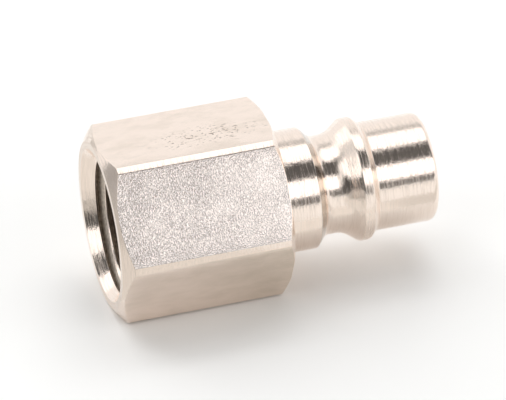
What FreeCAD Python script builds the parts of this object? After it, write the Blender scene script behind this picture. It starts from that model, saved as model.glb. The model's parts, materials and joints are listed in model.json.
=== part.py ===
import FreeCAD, Part
import math
import os

# Straight-through nipple of a quick coupling, turned from one hexagon bar.
# Millimetres and degrees. The turning axis is X: the port's end face is at x = 0, the nose points to +X,
# and the part lies on the hexagon flat that faces -Z.

# Hexagon
ACROSS_FLATS = 20.638           # 13/16 in bar
CORNER_SKIM = 0.49              # turned off the diameter across the bar's corners
HEX_LENGTH = 20.36
PORT_CHAMFER = 1.78             # radial width at the corners
PORT_CHAMFER_ANGLE = 33.0       # from the end face
SHOULDER_CHAMFER = 1.27         # radial width at the corners
SHOULDER_CHAMFER_ANGLE = 31.0   # from the shoulder face

# Port for a 3/8-18 taper pipe thread
END_FACE_WIDTH = 0.88           # flat ring between the chamfer and the countersink
COUNTERSINK_HALF_ANGLE = 32.5
TAP_DRILL_DIAMETER = 14.68
THREAD_WALL_LENGTH = 10.5       # straight wall behind the countersink
DRILL_POINT_HALF_ANGLE = 59.0

# Neck
NECK_DIAMETER = 14.32
NECK_LENGTH = 4.23
NECK_EDGE_ROUND = 0.23

# Locking groove, where the socket's balls sit
GROOVE_DIAMETER = 11.66
GROOVE_FLOOR_LENGTH = 2.24      # between the sharp corners of its two flanks
GROOVE_BACK_ANGLE = 48.0        # flanks, measured from the axis
GROOVE_FRONT_ANGLE = 37.0
GROOVE_BACK_FILLET = 1.4
GROOVE_FRONT_FILLET = 2.8

# Ridge that the balls ride over
RIDGE_DIAMETER = 14.49
RIDGE_WIDTH = 1.085
RIDGE_FRONT_ANGLE = 45.0
RIDGE_BACK_ROUND = 0.5
RIDGE_FRONT_ROUND = 0.45

# Nose that slides into the socket's seal
NOSE_DIAMETER = 12.82
NOSE_LENGTH = 7.275
NOSE_ROOT_FILLET = 0.28
NOSE_TIP_ROUND = 0.75

# Flow bore
BORE_DIAMETER = 8.8
BORE_CHAMFER = 0.5

AXIS = FreeCAD.Vector(1, 0, 0)
FULL_TURN = 360.0
HEX_SIDES = 6


def rise(base, angle):
    """How far a slope climbs over a base that its angle is measured from."""
    return base * math.tan(math.radians(angle))


def run(height, angle):
    """How long a base a slope needs to climb a height."""
    return height / math.tan(math.radians(angle))


def outer_corners():
    """Corners (x, r, rounding) of the turned outside, from the port's face to the nose's tip."""
    corner_r = (ACROSS_FLATS / math.cos(math.pi / HEX_SIDES) - CORNER_SKIM) / 2
    neck_r = NECK_DIAMETER / 2
    groove_r = GROOVE_DIAMETER / 2
    ridge_r = RIDGE_DIAMETER / 2
    nose_r = NOSE_DIAMETER / 2
    face_r = corner_r - PORT_CHAMFER
    neck_end = HEX_LENGTH + NECK_LENGTH
    groove_start = neck_end + run(neck_r - groove_r, GROOVE_BACK_ANGLE)
    groove_end = groove_start + GROOVE_FLOOR_LENGTH
    ridge_start = groove_end + run(ridge_r - groove_r, GROOVE_FRONT_ANGLE)
    ridge_end = ridge_start + RIDGE_WIDTH
    nose_start = ridge_end + run(ridge_r - nose_r, RIDGE_FRONT_ANGLE)
    return [
        (0, face_r - END_FACE_WIDTH, 0),
        (0, face_r, 0),
        (rise(PORT_CHAMFER, PORT_CHAMFER_ANGLE), corner_r, 0),
        (HEX_LENGTH - rise(SHOULDER_CHAMFER, SHOULDER_CHAMFER_ANGLE), corner_r, 0),
        (HEX_LENGTH, corner_r - SHOULDER_CHAMFER, 0),
        (HEX_LENGTH, neck_r, 0),
        (neck_end, neck_r, NECK_EDGE_ROUND),
        (groove_start, groove_r, GROOVE_BACK_FILLET),
        (groove_end, groove_r, GROOVE_FRONT_FILLET),
        (ridge_start, ridge_r, RIDGE_BACK_ROUND),
        (ridge_end, ridge_r, RIDGE_FRONT_ROUND),
        (nose_start, nose_r, NOSE_ROOT_FILLET),
        (nose_start + NOSE_LENGTH, nose_r, NOSE_TIP_ROUND),
    ]


def inner_corners(mouth_r, tip):
    """Corners (x, r, rounding) of the passage, from the nose's tip back to the port's thread."""
    bore_r = BORE_DIAMETER / 2
    tap_r = TAP_DRILL_DIAMETER / 2
    thread_start = run(mouth_r - tap_r, COUNTERSINK_HALF_ANGLE)
    thread_end = thread_start + THREAD_WALL_LENGTH
    drill_point = thread_end + run(tap_r - bore_r, DRILL_POINT_HALF_ANGLE)
    return [
        (tip, bore_r + BORE_CHAMFER, 0),
        (tip - BORE_CHAMFER, bore_r, 0),
        (drill_point, bore_r, 0),
        (thread_end, tap_r, 0),
        (thread_start, tap_r, 0),
    ]


def rounded_wire(corners):
    """Closed outline in the XZ plane through the corners, with an arc at each corner that has a rounding."""
    points = [FreeCAD.Vector(x, 0, r) for x, r, rounding in corners]
    cuts = []
    for i, corner in enumerate(points):
        rounding = corners[i][2]
        back = (points[i - 1] - corner).normalize()
        ahead = (points[(i + 1) % len(points)] - corner).normalize()
        half_angle = back.getAngle(ahead) / 2
        reach = rounding / math.tan(half_angle)
        to_arc = rounding / math.sin(half_angle) - rounding
        middle = corner + (back + ahead).normalize() * to_arc
        cuts.append((corner + back * reach, middle, corner + ahead * reach))
    edges = []
    for i, (start, middle, end) in enumerate(cuts):
        if corners[i][2]:
            edges.append(Part.Arc(start, middle, end).toShape())
        edges.append(Part.makeLine(end, cuts[(i + 1) % len(cuts)][0]))
    return Part.Wire(edges)


def hexagon_bar(length):
    """Bar of the given length along X, with two of its flats facing up and down."""
    corner_r = ACROSS_FLATS / 2 / math.cos(math.pi / HEX_SIDES)
    angles = [2 * math.pi * i / HEX_SIDES for i in range(HEX_SIDES + 1)]
    points = [FreeCAD.Vector(0, corner_r * math.cos(a), corner_r * math.sin(a)) for a in angles]
    return Part.Face(Part.makePolygon(points)).extrude(AXIS * length)


def nipple():
    """The turned and bored blank, cut down to the bar's flats."""
    outside = outer_corners()
    mouth_r = outside[0][1]
    tip = outside[-1][0]
    profile = Part.Face(rounded_wire(outside + inner_corners(mouth_r, tip)))
    turned = profile.revolve(FreeCAD.Vector(0, 0, 0), AXIS, FULL_TURN)
    return turned.common(hexagon_bar(tip))


os.makedirs("parts", exist_ok=True)
nipple().exportStep("parts/nipple.step")
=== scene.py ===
import json
import math

import bmesh
import bpy
import numpy as np
from mathutils import Matrix, Vector

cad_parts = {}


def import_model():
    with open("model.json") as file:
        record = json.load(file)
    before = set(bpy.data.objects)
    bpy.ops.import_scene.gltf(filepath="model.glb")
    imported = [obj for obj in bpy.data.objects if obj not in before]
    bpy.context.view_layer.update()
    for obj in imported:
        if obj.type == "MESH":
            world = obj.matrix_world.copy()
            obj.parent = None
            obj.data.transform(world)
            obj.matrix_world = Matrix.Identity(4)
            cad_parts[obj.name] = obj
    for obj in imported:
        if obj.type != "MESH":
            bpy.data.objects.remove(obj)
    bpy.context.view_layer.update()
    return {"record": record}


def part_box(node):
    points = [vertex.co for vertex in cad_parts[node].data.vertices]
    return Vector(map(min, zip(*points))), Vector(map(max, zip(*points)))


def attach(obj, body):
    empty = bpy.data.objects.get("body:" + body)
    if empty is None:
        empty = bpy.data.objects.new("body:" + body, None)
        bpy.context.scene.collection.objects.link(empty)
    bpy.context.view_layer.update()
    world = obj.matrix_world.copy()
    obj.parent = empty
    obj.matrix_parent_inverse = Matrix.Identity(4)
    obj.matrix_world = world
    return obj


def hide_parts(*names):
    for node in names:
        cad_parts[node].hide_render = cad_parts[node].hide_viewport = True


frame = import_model()


def slope(angle):
    """Rise of a slope over its run, from its angle in degrees."""
    return math.tan(math.radians(angle))


# Sizes of the nipple, in millimetres. The turning axis is X, and the port's end face is at x = 0.
MM = 0.001                      # metres in a millimetre
NODE = "nipple"
low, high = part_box(NODE)
dims = {mount["name"]: mount["dims"] for mount in frame["record"]["mounts"]}
FLAT_R = high.z / MM            # axis to a hexagon flat
CORNER_R = high.y / MM          # axis to the turned corners
LENGTH = high.x / MM
TAP_R = dims["port_thread"]["r_mm"]
BORE_R = dims["flow_bore"]["r_mm"]
NOSE_R = dims["nose"]["r_mm"]

HEX_LENGTH = 20.36
PORT_CHAMFER = 1.78             # radial width at the corners
PORT_CHAMFER_ANGLE = 33.0       # from the end face
SHOULDER_CHAMFER = 1.27         # radial width at the corners
SHOULDER_CHAMFER_ANGLE = 31.0   # from the shoulder face
END_FACE_WIDTH = 0.88           # flat ring between the chamfer and the countersink
COUNTERSINK_HALF_ANGLE = 32.5
DRILL_POINT_HALF_ANGLE = 59.0
NECK_R = 7.16
NECK_LENGTH = 4.23
NECK_EDGE_ROUND = 0.23
GROOVE_R = 5.83
GROOVE_FLOOR_LENGTH = 2.24      # between the sharp corners of its two flanks
GROOVE_BACK_ANGLE = 48.0        # flanks, measured from the axis
GROOVE_FRONT_ANGLE = 37.0
GROOVE_BACK_FILLET = 1.4
GROOVE_FRONT_FILLET = 2.8
RIDGE_R = 7.245
RIDGE_WIDTH = 1.085
RIDGE_FRONT_ANGLE = 45.0
RIDGE_BACK_ROUND = 0.5
RIDGE_FRONT_ROUND = 0.45
NOSE_ROOT_FILLET = 0.28
NOSE_TIP_ROUND = 0.75
BORE_CHAMFER = 0.5

# Edges
EDGE_ROUND = 0.055              # break of the machined edges
LEAST_BEVEL = 0.075             # what the shoulder's chamfer leaves on the middle of a flat
CORNER_BLEND = 0.028            # depth over which a flat runs into a turned corner
FLAT_FALL_WIDTH = 0.6           # strip beside each corner where a flat falls away a little
FLAT_FALL = 0.038               # depth of that fall at the corner
FLAT_FALL_POWER = 1.4           # how the fall grows across its strip

# Taper pipe thread, 18 turns to the inch
PITCH = 25.4 / 18
THREAD_ROOT_R = 8.62            # at the end face
THREAD_TAPER = 1 / 32           # on the radius
THREAD_DEPTH = 0.8 * PITCH
THREAD_FLAT = 0.05              # width of the flat at its root
THREAD_FLANK_ANGLE = 30.0
THREAD_FIRST_ROOT = 0.37        # where the root crosses the +Y side
THREAD_FADE = 2.6               # length over which the last turns run out

# Places along the axis and radii that follow from the sizes
FACE_R = CORNER_R - PORT_CHAMFER
MOUTH_R = FACE_R - END_FACE_WIDTH
THREAD_START = EDGE_ROUND * slope(45 - COUNTERSINK_HALF_ANGLE / 2)      # end of the edge break
THREAD_END = (MOUTH_R - TAP_R) / slope(COUNTERSINK_HALF_ANGLE) + dims["port_thread"]["length_mm"]
DRILL_POINT = THREAD_END + (TAP_R - BORE_R) / slope(DRILL_POINT_HALF_ANGLE)
NECK_END = HEX_LENGTH + NECK_LENGTH
GROOVE_START = NECK_END + (NECK_R - GROOVE_R) / slope(GROOVE_BACK_ANGLE)
GROOVE_END = GROOVE_START + GROOVE_FLOOR_LENGTH
RIDGE_START = GROOVE_END + (RIDGE_R - GROOVE_R) / slope(GROOVE_FRONT_ANGLE)
RIDGE_END = RIDGE_START + RIDGE_WIDTH
NOSE_START = RIDGE_END + (RIDGE_R - NOSE_R) / slope(RIDGE_FRONT_ANGLE)

# Divisions of the mesh
HEX_SIDES = 6
SIXTH = 2 * math.pi / HEX_SIDES
STEPS_PER_FLAT = 16
STEPS_PER_CORNER = 4
EDGE_STEP = math.radians(0.16)  # between the stations where a flat runs into a corner
EDGE_STEPS = 2                  # of those on each side of the edge
FLANK_SHARES = (0, 0.5, 1)      # rows on each side of the thread's groove
ROWS_PER_TURN = 2 * len(FLANK_SHARES)
SHARP_ANGLE = math.radians(35)
LEAST_EDGE = 2e-4               # shortest edge that is kept
TURNED_SLOT, FROSTED_SLOT, SMOOTH_SLOT, THREAD_SLOT = range(4)


def stations():
    """Angles round the axis, from +Y over +Z, and the material of the hexagon at each.

    The turned corners are at whole sixths of a turn, and every other flat of the bar is frosted.
    """
    half_corner = SIXTH / 2 - math.acos((FLAT_R - FLAT_FALL) / (CORNER_R - FLAT_FALL))
    blend = EDGE_STEP * EDGE_STEPS
    corner = np.linspace(-half_corner + blend, half_corner - blend, STEPS_PER_CORNER + 1)
    edge = half_corner + EDGE_STEP * np.arange(1 - EDGE_STEPS, EDGE_STEPS + 1)
    flat = np.linspace(edge[-1], SIXTH - edge[-1], STEPS_PER_FLAT + 1)
    one = np.concatenate([corner, edge, flat[1:], (SIXTH - edge)[::-1][1:]])
    turned = (one < half_corner) | (one > SIXTH - half_corner)
    angles = []
    slots = []
    for side in range(HEX_SIDES):
        angles.append(one + SIXTH * side)
        slots.append(np.where(turned, TURNED_SLOT, SMOOTH_SLOT if side % 2 else FROSTED_SLOT))
    return np.concatenate(angles), np.concatenate(slots)


def hexagon_radius(angles):
    """Distance from the axis to the hexagon's surface, with turned corners run softly into the flats."""
    off_flat = (angles % SIXTH) - SIXTH / 2
    corner_r = CORNER_R - FLAT_FALL
    half_width = math.sqrt(corner_r ** 2 - (FLAT_R - FLAT_FALL) ** 2)
    past_strip = FLAT_R * np.abs(np.tan(off_flat)) - half_width + FLAT_FALL_WIDTH
    into_strip = np.maximum(past_strip, 0) / FLAT_FALL_WIDTH
    bar = (FLAT_R - FLAT_FALL * into_strip ** FLAT_FALL_POWER) / np.cos(off_flat)
    overlap = np.maximum(CORNER_BLEND - np.abs(bar - corner_r), 0) / CORNER_BLEND
    return np.minimum(bar, corner_r) - overlap ** 2 * CORNER_BLEND / 4


def outline(surface):
    """Corners (x, r, rounding, steps) of the outside and the passage, for stations with these bar radii."""
    shoulder_r = np.minimum(CORNER_R - SHOULDER_CHAMFER, surface - LEAST_BEVEL)
    shoulder_x = HEX_LENGTH - (surface - shoulder_r) * slope(SHOULDER_CHAMFER_ANGLE)
    return [
        (THREAD_START, MOUTH_R - THREAD_START * slope(COUNTERSINK_HALF_ANGLE), 0, 0),
        (0, MOUTH_R, EDGE_ROUND / 2, 4),
        (0, FACE_R, EDGE_ROUND, 4),
        ((surface - FACE_R) * slope(PORT_CHAMFER_ANGLE), surface, EDGE_ROUND, 4),
        (shoulder_x, surface, EDGE_ROUND, 4),
        (HEX_LENGTH, shoulder_r, EDGE_ROUND, 4),
        (HEX_LENGTH, NECK_R, EDGE_ROUND, 4),
        (NECK_END, NECK_R, NECK_EDGE_ROUND, 8),
        (GROOVE_START, GROOVE_R, GROOVE_BACK_FILLET, 12),
        (GROOVE_END, GROOVE_R, GROOVE_FRONT_FILLET, 14),
        (RIDGE_START, RIDGE_R, RIDGE_BACK_ROUND, 12),
        (RIDGE_END, RIDGE_R, RIDGE_FRONT_ROUND, 8),
        (NOSE_START, NOSE_R, NOSE_ROOT_FILLET, 6),
        (LENGTH, NOSE_R, NOSE_TIP_ROUND, 12),
        (LENGTH, BORE_R + BORE_CHAMFER, EDGE_ROUND, 4),
        (LENGTH - BORE_CHAMFER, BORE_R, EDGE_ROUND, 4),
        (DRILL_POINT, BORE_R, EDGE_ROUND, 4),
        (THREAD_END, TAP_R, 0, 0),
    ]


def rounded_rows(corners, count):
    """Rows of points (x, r), one point a station, through the corners with an arc at each rounded one."""
    points = [np.stack(np.broadcast_arrays(*corner[:2], np.zeros(count))[:2], axis=1) for corner in corners]
    rows = [points[0]]
    for i in range(1, len(points) - 1):
        rounding, steps = corners[i][2:]
        back = points[i - 1] - points[i]
        ahead = points[i + 1] - points[i]
        back /= np.linalg.norm(back, axis=1, keepdims=True)
        ahead /= np.linalg.norm(ahead, axis=1, keepdims=True)
        half = np.arccos(np.clip((back * ahead).sum(axis=1, keepdims=True), -1, 1)) / 2
        middle = (back + ahead) / np.linalg.norm(back + ahead, axis=1, keepdims=True)
        centre = points[i] + middle * rounding / np.sin(half)
        reach = rounding / np.tan(half)
        start = points[i] + back * reach - centre
        end = points[i] + ahead * reach - centre
        sweep = math.pi - 2 * half
        support = rounding / steps
        rows.append(centre + start + back * support)
        for share in np.linspace(0, 1, steps + 1):
            arm = (np.sin((1 - share) * sweep) * start + np.sin(share * sweep) * end) / np.sin(sweep)
            rows.append(centre + arm)
        rows.append(centre + end + ahead * support)
    rows.append(points[-1])
    return rows


def groove_rows(root_x):
    """Rows (x, r) across one turn of the thread's groove, for roots at these places, and where it is cut.

    A flank climbs from the root to the crest, or less far where the countersink or drilled wall cuts it.
    """
    sink = slope(COUNTERSINK_HALF_ANGLE)
    flank = slope(THREAD_FLANK_ANGLE)
    fade = np.clip((THREAD_END - root_x) / THREAD_FADE, 0, 1)
    root_r = TAP_R + (THREAD_ROOT_R - root_x * THREAD_TAPER - TAP_R) * fade
    to_crest = np.minimum(THREAD_DEPTH, root_r - TAP_R)
    rows = []
    for side, shares in ((-1, FLANK_SHARES[::-1]), (1, FLANK_SHARES)):
        edge = root_x + side * THREAD_FLAT / 2
        to_sink = (root_r - MOUTH_R + sink * edge) / (1 - side * sink * flank)
        climb = np.clip(np.minimum(to_crest, to_sink), 0, None)
        for share in shares:
            x = np.clip(edge + side * climb * share * flank, THREAD_START, THREAD_END)
            r = np.maximum(np.maximum(root_r - climb * share, MOUTH_R - x * sink), TAP_R)
            rows.append((x, r))
    cut = (root_r > MOUTH_R - root_x * sink) & (root_r > TAP_R) & (root_x > THREAD_START)
    return rows, cut


def add_outline(bm, rows, angles, materials):
    """Joins rows of points (x, r) round the axis, each row closed on itself."""
    made = []
    for row in rows:
        y = row[:, 1] * np.cos(angles)
        z = row[:, 1] * np.sin(angles)
        made.append([bm.verts.new(p) for p in zip(row[:, 0], y, z)])
    count = len(angles)
    for i in range(len(made) - 1):
        for j in range(count):
            k = (j + 1) % count
            face = bm.faces.new((made[i][j], made[i][k], made[i + 1][k], made[i + 1][j]))
            face.material_index = int(materials[i][j])
            face.smooth = True


def add_thread(bm, angles):
    """The countersink and the thread, in helical rows: a row's last station joins a later row's first."""
    count = len(angles)
    sink_r = MOUTH_R - THREAD_START * slope(COUNTERSINK_HALF_ANGLE)
    rows = [(np.full(count, THREAD_START), np.full(count, sink_r))]
    in_groove = [np.zeros(count, bool)]
    for turn in range(-1, math.ceil((THREAD_END - THREAD_START) / PITCH) + 1):
        made, cut = groove_rows(THREAD_FIRST_ROOT + PITCH * (turn + angles / (2 * math.pi)))
        rows += made
        in_groove += [cut] * (ROWS_PER_TURN - 1) + [np.zeros(count, bool)]
    rows.append((np.full(count, THREAD_END), np.full(count, TAP_R)))
    verts = [[bm.verts.new(p) for p in zip(x, r * np.cos(angles), r * np.sin(angles))] for x, r in rows]

    def corner(i, j):
        return verts[min(i + ROWS_PER_TURN * (j // count), len(verts) - 1)][j % count]

    for i in range(len(verts) - 1):
        for j in range(count):
            loop = []
            for vert in (corner(i, j), corner(i + 1, j), corner(i + 1, j + 1), corner(i, j + 1)):
                if all((vert.co - other.co).length > LEAST_EDGE for other in loop):
                    loop.append(vert)
            if len(loop) > 2:
                face = bm.faces.new(loop)
                face.smooth = True
                cut = in_groove[min(i, len(in_groove) - 1)][j]
                face.material_index = THREAD_SLOT if cut else TURNED_SLOT


def mesh_from(bm, name):
    """Mesh with the shape of a bmesh, which is freed."""
    mesh = bpy.data.meshes.new(name)
    bm.to_mesh(mesh)
    bm.free()
    return mesh


def put_in_scene(name, data):
    """Object that shows a mesh, lamp or camera in the scene."""
    made = bpy.data.objects.new(name, data)
    bpy.context.scene.collection.objects.link(made)
    return made


def nipple_mesh():
    """The whole nipple as one closed mesh, in metres."""
    angles, hexagon_slots = stations()
    surface = hexagon_radius(angles)
    rows = rounded_rows(outline(surface), len(angles))
    reach = surface.max() - LEAST_EDGE
    full = [i for i, row in enumerate(rows) if row[:, 1].max() > reach]
    turned = np.full(len(angles), TURNED_SLOT)
    materials = [hexagon_slots if full[0] <= i < full[-1] else turned for i in range(len(rows))]
    bm = bmesh.new()
    add_outline(bm, rows, angles, materials)
    add_thread(bm, angles)
    bmesh.ops.remove_doubles(bm, verts=bm.verts, dist=LEAST_EDGE)
    bmesh.ops.recalc_face_normals(bm, faces=bm.faces)
    bmesh.ops.scale(bm, vec=(MM, MM, MM), verts=bm.verts)
    mesh = mesh_from(bm, "nipple_body")
    mesh.set_sharp_from_angle(angle=SHARP_ANGLE)
    return mesh


# Materials. Noise scales are for coordinates in metres, and depths are in metres.
STEEL = (0.955, 0.83, 0.74, 1)
DULL_STEEL = (0.905, 0.78, 0.685, 1)
# painted shade: this darker colour goes on the groove's back flank
FLANK_SHADE_STEEL = (0.68, 0.615, 0.555, 1)
FROSTED_STEEL = (0.8, 0.73, 0.695, 1)
# painted shade: the darker frosted colours go in the grain's hollows and along the top of each frosted flat
FROSTED_HOLLOW_SHADE = (0.56, 0.475, 0.43, 1)
FROSTED_DARKEST_SHADE = (0.4, 0.32, 0.27, 1)
# colour of real stains, and of painted shade on the lower flats
STAINED_SHADED_STEEL = (0.73, 0.63, 0.53, 1)
PITTED_STEEL = (0.3, 0.24, 0.2, 1)
# painted shade: the thread's colours are darkened for the shade inside the port
THREAD_SHADED_STEEL = (0.62, 0.55, 0.475, 1)
TORN_SHADED_STEEL = (0.4, 0.345, 0.29, 1)
FLAT_ROUGHNESS = 0.25
THREAD_ROUGHNESS = 0.45
CREST_DULLNESS = 0.07           # roughness added on the ridge's crest, which the balls rub
RING_LEAN = 0.35                # how much the radius counts beside x in telling turned rings apart
MARK_SHARE = 4e-4               # metres that the pattern of marks moves by in a radian round the axis
CHATTER_SHARE = 2.5e-3          # the same for the tool's chatter
CHATTER_DEPTH = 1.8e-5
GRAIN_DEPTH = 3e-5
MOTTLE_DEPTH = 3e-5
TEAR_DEPTH = 5e-5
EDGE_SHADE = 0.83               # share of a frosted flat's height above which painted shade darkens it towards the top
PITS_CENTRE = (12.6, -1.7)      # x and y of the patch of pits on the top flat, in millimetres
PITS_REACH = 2.6                # half of the patch's width
PITS_STRETCH = 3.2              # its length for its width
LOW_SHADE_START, LOW_SHADE_END = 6.0, 21.0      # between these x, in millimetres, painted shade on the lower flats grows
DRAWN_STRETCH = 2               # how much longer the marks of the drawn bar are along it than across


def feed(tree, socket, value):
    """Sets a node's socket to a value, or links it to another node's socket."""
    if isinstance(value, bpy.types.NodeSocket):
        tree.links.new(value, socket)
    else:
        socket.default_value = value


def add(tree, kind, settings=(), **inputs):
    """Adds a shader node. Inputs are values or other nodes' sockets, with _ for a space in their names."""
    made = tree.nodes.new("ShaderNode" + kind)
    for name, value in settings:
        setattr(made, name, value)
    for name, value in inputs.items():
        feed(tree, made.inputs[name.replace("_", " ")], value)
    return made


def arithmetic(tree, operation, *values):
    """Result of a maths operation on values or other nodes' sockets."""
    made = add(tree, "Math", [("operation", operation)])
    for socket, value in zip(made.inputs, values):
        feed(tree, socket, value)
    return made.outputs[0]


def ramp(tree, value, *stops):
    """Colour that a value picks between stops of (place, colour)."""
    made = add(tree, "ValToRGB", Fac=value)
    elements = made.color_ramp.elements
    for _ in stops[len(elements):]:
        elements.new(1)
    for element, (place, color) in zip(elements, stops):
        element.position = place
        element.color = color
    return made.outputs[0]


def new_material(name):
    """A material and its empty node tree."""
    material = bpy.data.materials.new(name)
    material.use_nodes = True
    tree = material.node_tree
    tree.nodes.clear()
    return material, tree


def metal(tree, color, roughness, height, depth, strength=1.0):
    """Ends a material as bare metal, its surface raised by a height from 0 to 1 times a depth."""
    bump = add(tree, "Bump", Strength=strength, Distance=depth, Height=height)
    shader = add(tree, "BsdfPrincipled", Base_Color=color, Metallic=1, Roughness=roughness,
                 Normal=bump.outputs[0])
    add(tree, "OutputMaterial", Surface=shader.outputs[0])


def axis_distance(tree, y, z):
    """Distance from the turning axis."""
    squares = arithmetic(tree, "ADD", arithmetic(tree, "MULTIPLY", y, y), arithmetic(tree, "MULTIPLY", z, z))
    return arithmetic(tree, "SQRT", squares)


def turned_position(tree, coordinates, share):
    """A place on the turned surface that changes fast from ring to ring, and slowly round each ring."""
    x, y, z = add(tree, "SeparateXYZ", Vector=coordinates).outputs
    ring = arithmetic(tree, "ADD", x, arithmetic(tree, "MULTIPLY", axis_distance(tree, y, z), RING_LEAN))
    turn = arithmetic(tree, "MULTIPLY", arithmetic(tree, "ARCTAN2", z, y), share)
    return add(tree, "CombineXYZ", X=ring, Y=turn).outputs[0]


def on_outside(tree, coordinates, start, end):
    """1 on the outside between two places along the axis, in millimetres, and 0 elsewhere."""
    x, y, z = add(tree, "SeparateXYZ", Vector=coordinates).outputs
    along = arithmetic(tree, "COMPARE", x, (start + end) / 2 * MM, (end - start) / 2 * MM)
    outside = arithmetic(tree, "GREATER_THAN", axis_distance(tree, y, z), (BORE_R + GROOVE_R) / 2 * MM)
    return arithmetic(tree, "MULTIPLY", along, outside)


def turned_steel():
    """Bright metal with turning marks, with painted shade on the groove's back flank, and duller on the
    crest.
    """
    material, tree = new_material("turned_steel")
    coordinates = add(tree, "TexCoord").outputs["Object"]
    flat_noise = [("noise_dimensions", "2D")]
    rings = turned_position(tree, coordinates, MARK_SHARE)
    polish = add(tree, "TexNoise", flat_noise, Vector=rings, Scale=5200, Detail=2, Roughness=0.8).outputs[0]
    color = ramp(tree, polish, (0.3, STEEL), (0.7, DULL_STEEL))
    # Painted shade on the groove's back flank, from the neck to the end of the back fillet.
    fillet_reach = GROOVE_BACK_FILLET * slope(GROOVE_BACK_ANGLE / 2)
    flank_end = GROOVE_START - fillet_reach * math.cos(math.radians(GROOVE_BACK_ANGLE))
    in_flank_shade = on_outside(tree, coordinates, NECK_END, flank_end)
    color = add(tree, "MixRGB", Fac=in_flank_shade, Color1=color, Color2=FLANK_SHADE_STEEL).outputs[0]
    roughness = add(tree, "MapRange", Value=polish, From_Min=0.37, From_Max=0.63, To_Min=0.065, To_Max=0.27)
    on_crest = on_outside(tree, coordinates, RIDGE_START, RIDGE_END)
    roughness = arithmetic(tree, "MULTIPLY_ADD", on_crest, CREST_DULLNESS, roughness.outputs[0])
    strokes = turned_position(tree, coordinates, CHATTER_SHARE)
    chatter = add(tree, "TexNoise", flat_noise, Vector=strokes, Scale=3800, Detail=3, Roughness=0.7)
    metal(tree, color, roughness, chatter.outputs[0], CHATTER_DEPTH)
    return material


def frosted_steel():
    """Frosted flat of the drawn bar, with a fine grain of specks that weakens towards the shoulder, painted
    shade in the grain's hollows and painted shade towards the flat's top.
    """
    material, tree = new_material("frosted_steel")
    coordinates = add(tree, "TexCoord").outputs["Object"]
    place = add(tree, "SeparateXYZ", Vector=coordinates).outputs
    grain = add(tree, "TexVoronoi", Vector=coordinates, Scale=8000).outputs[0]
    patches = add(tree, "TexNoise", Vector=coordinates, Scale=320, Detail=3, Roughness=0.6)
    patch = add(tree, "MapRange", Value=patches.outputs[0], From_Min=0.3, From_Max=0.7,
                To_Min=0.82, To_Max=1.18)
    strength = add(tree, "MapRange", Value=place["X"], From_Max=HEX_LENGTH * MM, To_Min=0.95, To_Max=0.72)
    strength = arithmetic(tree, "MULTIPLY", strength.outputs[0], patch.outputs[0])
    # Painted shade: the flat darkens towards its top, and the ramp darkens the grain's hollows.
    top = FLAT_R * MM
    edge = add(tree, "MapRange", Value=place["Z"], From_Min=EDGE_SHADE * top, From_Max=top, To_Max=0.12)
    level = arithmetic(tree, "SUBTRACT", grain, edge.outputs[0])
    color = ramp(tree, level, (0.02, FROSTED_DARKEST_SHADE), (0.2, FROSTED_HOLLOW_SHADE), (0.5, FROSTED_STEEL))
    metal(tree, color, FLAT_ROUGHNESS, grain, GRAIN_DEPTH, strength)
    return material


def pits(tree, coordinates, drawn):
    """How dark the small pits in a patch on the top flat are, from 0 where there are none."""
    x, y = PITS_CENTRE
    shift = (-x / PITS_STRETCH * MM, -y * MM, -FLAT_R * MM)
    from_patch = add(tree, "Mapping", Vector=coordinates, Location=shift, Scale=(1 / PITS_STRETCH, 1, 1))
    reach = add(tree, "VectorMath", [("operation", "LENGTH")], Vector=from_patch.outputs[0])
    patch = add(tree, "MapRange", Value=reach.outputs["Value"], From_Min=PITS_REACH * MM, From_Max=0,
                To_Max=2)
    specks = add(tree, "TexNoise", Vector=drawn, Scale=4200, Detail=2, Roughness=0.6)
    dark = add(tree, "MapRange", Value=specks.outputs[0], From_Min=0.6, From_Max=0.68)
    return arithmetic(tree, "MULTIPLY", dark.outputs[0], patch.outputs[0])


def stained_and_shaded(tree, coordinates, drawn):
    """Colour of the smooth flats, clouded by stains and darkened by painted shade that grows towards the
    shoulder on the lower ones.
    """
    place = add(tree, "SeparateXYZ", Vector=coordinates).outputs
    # Painted shade: the lower flats darken towards the shoulder, and the upper ones stay light.
    lower_flat_x = arithmetic(tree, "MULTIPLY", arithmetic(tree, "LESS_THAN", place["Z"], 0), place["X"])
    low_shade = add(tree, "MapRange", Value=lower_flat_x, From_Min=LOW_SHADE_START * MM, From_Max=LOW_SHADE_END * MM,
                 To_Min=-0.42, To_Max=0.4)
    clouds = add(tree, "TexNoise", Vector=drawn, Scale=560, Detail=5, Roughness=0.65)
    cloud = add(tree, "MapRange", Value=clouds.outputs[0], From_Min=0.2, From_Max=0.8)
    stain_and_shade = arithmetic(tree, "ADD", cloud.outputs[0], low_shade.outputs[0])
    return ramp(tree, stain_and_shade, (0, STEEL), (1, STAINED_SHADED_STEEL))


def smooth_steel():
    """Smooth flat of the drawn bar, with stains, painted shade on the lower flats, a faint mottle and a
    patch of pits on the top.
    """
    material, tree = new_material("smooth_steel")
    coordinates = add(tree, "TexCoord").outputs["Object"]
    drawn = add(tree, "Mapping", Vector=coordinates, Scale=(1 / DRAWN_STRETCH, 1, 1)).outputs[0]
    steel = stained_and_shaded(tree, coordinates, drawn)
    pitted = pits(tree, coordinates, drawn)
    color = add(tree, "MixRGB", Fac=pitted, Color1=steel, Color2=PITTED_STEEL).outputs[0]
    mottle = add(tree, "TexNoise", Vector=drawn, Scale=900, Detail=3, Roughness=0.5)
    metal(tree, color, FLAT_ROUGHNESS, mottle.outputs[0], MOTTLE_DEPTH)
    return material


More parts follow.
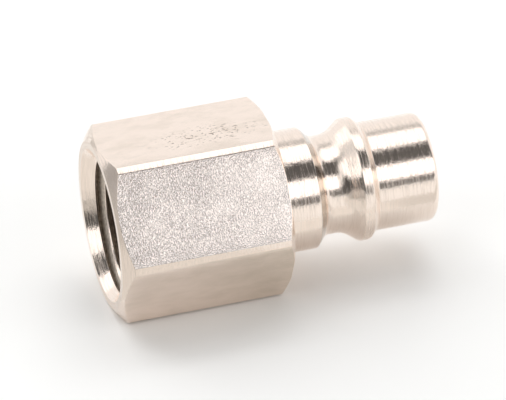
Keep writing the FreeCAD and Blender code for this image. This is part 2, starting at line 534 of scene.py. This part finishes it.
def shaded_tapped_steel():
    """Dull, torn flanks of the tapped thread, darkened by painted shade inside the port."""
    material, tree = new_material("shaded_tapped_steel")
    coordinates = add(tree, "TexCoord").outputs["Object"]
    tears = add(tree, "TexNoise", Vector=coordinates, Scale=2400, Detail=3, Roughness=0.6).outputs[0]
    color = ramp(tree, tears, (0.38, TORN_SHADED_STEEL), (0.62, THREAD_SHADED_STEEL))
    metal(tree, color, THREAD_ROUGHNESS, tears, TEAR_DEPTH)
    return material


# Stage, in metres
WHITE = (1, 1, 1, 1)
LIGHT_RADIUS = 1.3
DARK_RADIUS = 1.235             # dark cards stand before the bright ones
FLAG_RADIUS = 0.045             # near, so that the port mirrors it and the ridge doesn't
FLAG_CENTRE = (0.0006, 0.0042, -0.0068)     # spot on the countersink that the flag darkens
CARD_STEPS = 14
FLOOR_RADIUS = 0.42
FLOOR_SEGMENTS = 96
FLOOR_DROP = 0.00002            # below the flat that the nipple lies on
FLOOR_COLOR = (0.945, 0.945, 0.935, 1)
CARD_COLOR = (1, 0.985, 0.95, 1)            # of the cards on the floor
CARD_LIFT = 0.0003              # of the cards on the floor, above the flat that the nipple lies on
BOARD_GAP = 0.0355              # from the end face to the grey board
PORT_GAP = 0.003                # short of the end face, and of the axis, where the port's cards meet
SHADE_NEAR, SHADE_MIDDLE, SHADE_FAR = 0.0125, 0.024, 0.08   # edges of the floor cards, from the axis
SHADE_END = 0.12                # where the card beyond the nose ends
TIP_SHADE = 0.95 * LENGTH * MM  # where that card starts
ROOM_LIGHT = 0.4
KEY_SIZE = 1.2
KEY_POWER = 6.8
KEY_PLACE = (0, 0.75, 0.75)
KEY_TILT = math.radians(-45)


def glow(name, level, color):
    """Material that shines by itself."""
    material, tree = new_material(name)
    lamp = add(tree, "Emission", Color=color, Strength=level)
    add(tree, "OutputMaterial", Surface=lamp.outputs[0])
    return material


def place_card(name, bm, material, lights):
    """Sets up a card that the metal mirrors and the camera doesn't see, and that may light the floor."""
    mesh = mesh_from(bm, name)
    mesh.materials.append(material)
    card = put_in_scene(name, mesh)
    card.visible_camera = False
    card.visible_diffuse = lights
    card.visible_shadow = False


def stage_card(name, level, edges, radius=DARK_RADIUS, centre=(0, 0, 0), lights=False):
    """Part of a sphere round a centre, through edges of (axial, roll, roll) angles in degrees.

    Rolls go about X from -Y over +Z, and axials from the plane across X to +X.
    """
    bm = bmesh.new()
    rows = []
    axials, firsts, lasts = zip(*edges)
    for axial in np.linspace(axials[0], axials[-1], CARD_STEPS + 1):
        first = np.interp(axial, axials, firsts)
        last = np.interp(axial, axials, lasts)
        along = radius * math.sin(math.radians(axial))
        across = radius * math.cos(math.radians(axial))
        rolls = np.radians(np.linspace(first, last, CARD_STEPS + 1))
        places = [Vector((along, -across * math.cos(roll), across * math.sin(roll))) for roll in rolls]
        rows.append([bm.verts.new(Vector(centre) + place) for place in places])
    for i in range(CARD_STEPS):
        for j in range(CARD_STEPS):
            bm.faces.new((rows[i][j], rows[i][j + 1], rows[i + 1][j + 1], rows[i + 1][j]))
    place_card(name, bm, glow(name, level, WHITE), lights)


def softbox(name, level, edges):
    """Bright card that lights the floor too."""
    stage_card(name, level, edges, LIGHT_RADIUS, lights=True)


def mirrored_shade_card(name, level, x, y):
    """Card on the floor that only the metal shows, over these ranges. Near the nipple such cards are painted
    shadow.
    """
    bm = bmesh.new()
    corners = [(x[0], y[0]), (x[1], y[0]), (x[1], y[1]), (x[0], y[1])]
    bm.faces.new([bm.verts.new((*corner, low.z + CARD_LIFT)) for corner in corners])
    place_card(name, bm, glow(name, level, CARD_COLOR), lights=False)


def softboxes():
    """Bright lights round the nipple."""
    softbox("overhead_softbox", 1.5, [
        (-22, 93, 119.5), (-10, 88, 119.5), (0, 84.5, 119.5), (14, 79, 119.5), (30, 87, 120), (42, 95, 122)])
    softbox("front_softbox", 1.7, [(6, 15, 45), (14, 13.5, 45.8), (30, 15, 48), (60, 10, 51), (84, 10, 53)])
    softbox("side_softbox", 1.4, [
        (-64, 31, 70), (-56, 31, 72), (-50, 36, 82), (-36, 46, 86), (-24, 52, 77), (-16, 58, 74)])
    softbox("back_light", 1.4, [(-43, 126, 158), (-34, 120, 158), (-18, 121, 156)])


def dark_cards():
    """Dark and grey stretches of the studio between the softboxes."""
    stage_card("gap", 0.1, [
        (-5, 43, 86.5), (0, 44, 84.5), (14, 45.8, 79), (30, 47.5, 87), (50, 51, 95), (62, 52, 88),
        (84, 53, 72)])
    stage_card("horizon", 0.18, [(-2, -9, 15), (6, -6, 15), (14, -4, 13.5), (50, 2, 12)])
    stage_card("camera_side", 0.09, [
        (-66, -2, 28), (-60, -2, 30), (-56, 0, 33), (-48, -4, 37), (-36, -16, 38), (-26, -16, 40),
        (-18, -14, 42), (-10, -11, 22), (-2, -9, 16)])
    stage_card("far_ceiling", 0.75, [(-53, 90, 108), (-48, 86, 118), (-41, 95, 127), (-36, 104, 125)])
    stage_card("port_flag", 0.1, [
        (-53, 88, 108), (-48, 87, 116), (-44, 90, 121), (-41, 94, 126), (-36, 102, 124)],
        FLAG_RADIUS, FLAG_CENTRE)
    stage_card("ceiling", 0.5, [(-38, 86, 110), (-28, 76, 97), (-18, 74, 88), (-5, 64, 86.5)])
    stage_card("seam", 0.57, [(-3, 119.5, 132), (14, 119.5, 133), (45, 121, 134)])
    stage_card("seam_fade", 0.9, [(-3, 132, 139), (14, 133, 139), (45, 134, 140)])
    stage_card("far_end", 0.48, [(-90, -10, 190), (-64, -10, 190)])
    stage_card("backdrop_end", 0.42, [(-66, 120, 190), (-50, 124, 190)])


def mirrored_floor_shades():
    """Grey and pale stretches of the floor for the metal to mirror, and the nipple's painted shadow before
    the hexagon and the nose.
    """
    before_port = (-BOARD_GAP, -PORT_GAP)
    shoulder = HEX_LENGTH * MM
    mirrored_shade_card("grey_board", 0.6, (-FLOOR_RADIUS, -BOARD_GAP), (-FLOOR_RADIUS, FLOOR_RADIUS))
    mirrored_shade_card("ridge_card", 0.42, before_port, (-SHADE_FAR, -SHADE_NEAR))
    mirrored_shade_card("port_card", 0.78, before_port, (-SHADE_NEAR, -PORT_GAP))
    mirrored_shade_card("port_back_card", 0.87, before_port, (-PORT_GAP, SHADE_FAR))
    # Painted shadow of the nipple on the floor in front of it, seen only in the metal.
    mirrored_shade_card("hexagon_shadow_card", 0.83, (-PORT_GAP, shoulder), (-SHADE_FAR, -SHADE_NEAR))
    mirrored_shade_card("front_shadow_card", 0.9, (shoulder, TIP_SHADE), (-SHADE_MIDDLE, -SHADE_NEAR))
    mirrored_shade_card("nose_shadow_card", 0.75, (TIP_SHADE, SHADE_END), (-SHADE_MIDDLE, -SHADE_NEAR))


def key_lamp():
    """Broad light from behind and above that falls on the floor alone, since the metal doesn't mirror it."""
    data = bpy.data.lights.new("key", "AREA")
    data.shape = "SQUARE"
    data.size = KEY_SIZE
    data.energy = KEY_POWER
    lamp = put_in_scene("key", data)
    lamp.location = KEY_PLACE
    lamp.rotation_euler.x = KEY_TILT
    lamp.visible_camera = False
    lamp.visible_glossy = False


def world():
    """White backdrop that the camera and the metal see, and dimmer light all round for the floor."""
    made = bpy.data.worlds.new("studio")
    bpy.context.scene.world = made
    made.use_nodes = True
    tree = made.node_tree
    tree.nodes.clear()
    path = add(tree, "LightPath")
    seen = arithmetic(tree, "MAXIMUM", path.outputs["Is Camera Ray"], path.outputs["Is Glossy Ray"])
    seen = arithmetic(tree, "MAXIMUM", seen, path.outputs["Is Transmission Ray"])
    room = add(tree, "Background", Color=WHITE, Strength=ROOM_LIGHT)
    backdrop = add(tree, "Background", Color=WHITE, Strength=1)
    mix = add(tree, "MixShader", Fac=seen)
    tree.links.new(room.outputs[0], mix.inputs[1])
    tree.links.new(backdrop.outputs[0], mix.inputs[2])
    add(tree, "OutputWorld", Surface=mix.outputs[0])


def floor():
    """Pale floor that keeps the nipple's shadow."""
    bm = bmesh.new()
    bmesh.ops.create_circle(bm, cap_ends=True, segments=FLOOR_SEGMENTS, radius=FLOOR_RADIUS)
    bmesh.ops.translate(bm, vec=(LENGTH / 2 * MM, 0, low.z - FLOOR_DROP), verts=bm.verts)
    mesh = mesh_from(bm, "floor")
    material, tree = new_material("floor")
    shader = add(tree, "BsdfDiffuse", Color=FLOOR_COLOR)
    add(tree, "OutputMaterial", Surface=shader.outputs[0])
    mesh.materials.append(material)
    plane = put_in_scene("floor", mesh)


# Camera, in metres and radians
CAMERA_AZIMUTH = math.radians(-14.4339)
CAMERA_ELEVATION = math.radians(30.1411)
CAMERA_ROLL = math.radians(-3.1278)
CAMERA_DISTANCE = 0.56461
CAMERA_LENS = 346.2             # millimetres, for the sensor's width
SENSOR_WIDTH = 36
CLIP_NEAR, CLIP_FAR = 0.01, 10
AIM_X = 18.571 * MM             # on the axis
AIM_RIGHT = -0.2344 * MM        # from there, across the picture
AIM_UP = -0.3574 * MM


def camera():
    """Camera fitted to the outline in the photo."""
    level_share = math.cos(CAMERA_ELEVATION)
    back = Vector((math.sin(CAMERA_AZIMUTH) * level_share, -math.cos(CAMERA_AZIMUTH) * level_share,
                   math.sin(CAMERA_ELEVATION)))
    level = Vector((math.cos(CAMERA_AZIMUTH), math.sin(CAMERA_AZIMUTH), 0))
    upright = back.cross(level)
    right = level * math.cos(CAMERA_ROLL) + upright * math.sin(CAMERA_ROLL)
    up = upright * math.cos(CAMERA_ROLL) - level * math.sin(CAMERA_ROLL)
    aim = Vector((AIM_X, 0, 0)) + right * AIM_RIGHT + up * AIM_UP
    data = bpy.data.cameras.new("camera")
    data.lens = CAMERA_LENS
    data.sensor_width = SENSOR_WIDTH
    data.clip_start = CLIP_NEAR
    data.clip_end = CLIP_FAR
    made = put_in_scene("camera", data)
    turn = Matrix((right, up, back)).transposed().to_4x4()
    made.matrix_world = Matrix.Translation(aim + back * CAMERA_DISTANCE) @ turn
    bpy.context.scene.camera = made


mesh = nipple_mesh()
for material in (turned_steel(), frosted_steel(), smooth_steel(), shaded_tapped_steel()):
    mesh.materials.append(material)
body = put_in_scene("nipple_body", mesh)
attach(body, "root")
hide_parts(NODE)

world()
softboxes()
dark_cards()
mirrored_floor_shades()
key_lamp()
floor()
camera()
bpy.context.scene.view_settings.view_transform = "Standard"
